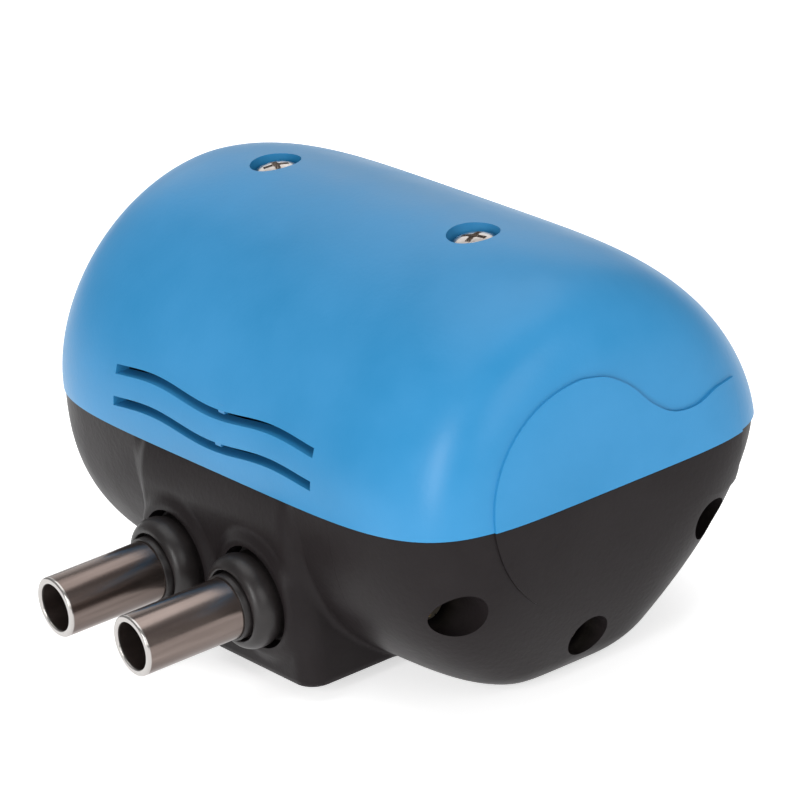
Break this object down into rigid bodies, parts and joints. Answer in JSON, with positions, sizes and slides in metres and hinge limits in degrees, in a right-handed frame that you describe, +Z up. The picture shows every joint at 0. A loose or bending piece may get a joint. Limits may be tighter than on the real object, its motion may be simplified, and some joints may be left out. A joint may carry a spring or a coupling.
{
  "type": "pneumatic milking pulsator",
  "caption": "Self-running pneumatic pulsator for a milking machine: domed blue cover on a black housing, twin steel outlet tubes, vacuum inlet socket below.",
  "frame": {"origin": "centre of the vacuum inlet socket's mouth, in the base plane that the end caps rest on", "axes": "+X through both end caps and along the drive shaft; the outlet tubes point along -Y; +Z up, out of the socket's top towards the cover"},
  "size_m": [0.1034, 0.0886, 0.0615],
  "materials": {
    "body_plastic": "moulded charcoal-black, satin",
    "cover_plastic": "moulded sky blue, satin gloss, faintly mottled",
    "zinc_screw": "zinc plated",
    "stainless_screw": "turned stainless",
    "brass": "turned",
    "diaphragm_rubber": "moulded, matt",
    "collar_rubber": "moulded, satin",
    "polished_tube": "polished nickel-bright stainless",
    "stainless_plate": "ground flat",
    "foam": "open-cell foam",
    "yoke_plastic": "natural acetal",
    "slide_plastic": "graphite-filled acetal"
  },
  "bodies": {
    "housing": {"main_body": "body_plastic", "top_cover": "cover_plastic", "cover_screws": "stainless_screw", "cover_inserts": "brass", "end_cap_left": "body_plastic", "end_cap_right": "body_plastic", "cap_screws_left": "zinc_screw", "cap_screws_right": "zinc_screw", "diaphragm_left": "diaphragm_rubber", "diaphragm_right": "diaphragm_rubber", "outlet_tube_left": "polished_tube", "outlet_tube_right": "polished_tube", "tube_collar_left": "collar_rubber", "tube_collar_right": "collar_rubber", "inlet_seal": "diaphragm_rubber", "port_gasket": "diaphragm_rubber", "port_plate": "stainless_plate", "port_plate_screws": "stainless_screw", "shaft_bush_left": "brass", "shaft_bush_right": "brass", "air_filter": "foam"},
    "shaft": {"drive_shaft": "stainless_plate", "inner_plate_left": "stainless_plate", "inner_plate_right": "stainless_plate", "outer_plate_left": "stainless_plate", "outer_plate_right": "stainless_plate", "shaft_nut_left": "brass", "shaft_nut_right": "brass", "valve_yoke": "yoke_plastic"},
    "main_slide": {"main_slide_valve": "slide_plastic"},
    "pilot_slide": {"pilot_slide_valve": "slide_plastic"},
    "speed_control": {"speed_screw": "brass", "speed_screw_seal": "diaphragm_rubber"}
  },
  "joints": [
    {"name": "shaft_slide", "type": "slide", "parent": "housing", "child": "shaft", "axis": [1, 0, 0], "range_m": [-0.004, 0.004], "deforming": ["diaphragm_left", "diaphragm_right"]},
    {"name": "main_slide_travel", "type": "slide", "parent": "housing", "child": "main_slide", "axis": [1, 0, 0], "range_m": [-0.004, 0.004]},
    {"name": "pilot_slide_travel", "type": "slide", "parent": "housing", "child": "pilot_slide", "axis": [1, 0, 0], "range_m": [-0.003, 0.003]},
    {"name": "speed_screw_turn", "type": "hinge", "parent": "housing", "child": "speed_control", "pos_m": [0, 0.0283, 0.012], "axis": [0, 1, 0], "range_deg": [-540, 540]}
  ],
  "couplings": [
    {"joint": "main_slide_travel", "follows": "shaft_slide", "ratio": 1},
    {"joint": "pilot_slide_travel", "follows": "shaft_slide", "ratio": 0.75}
  ]
}
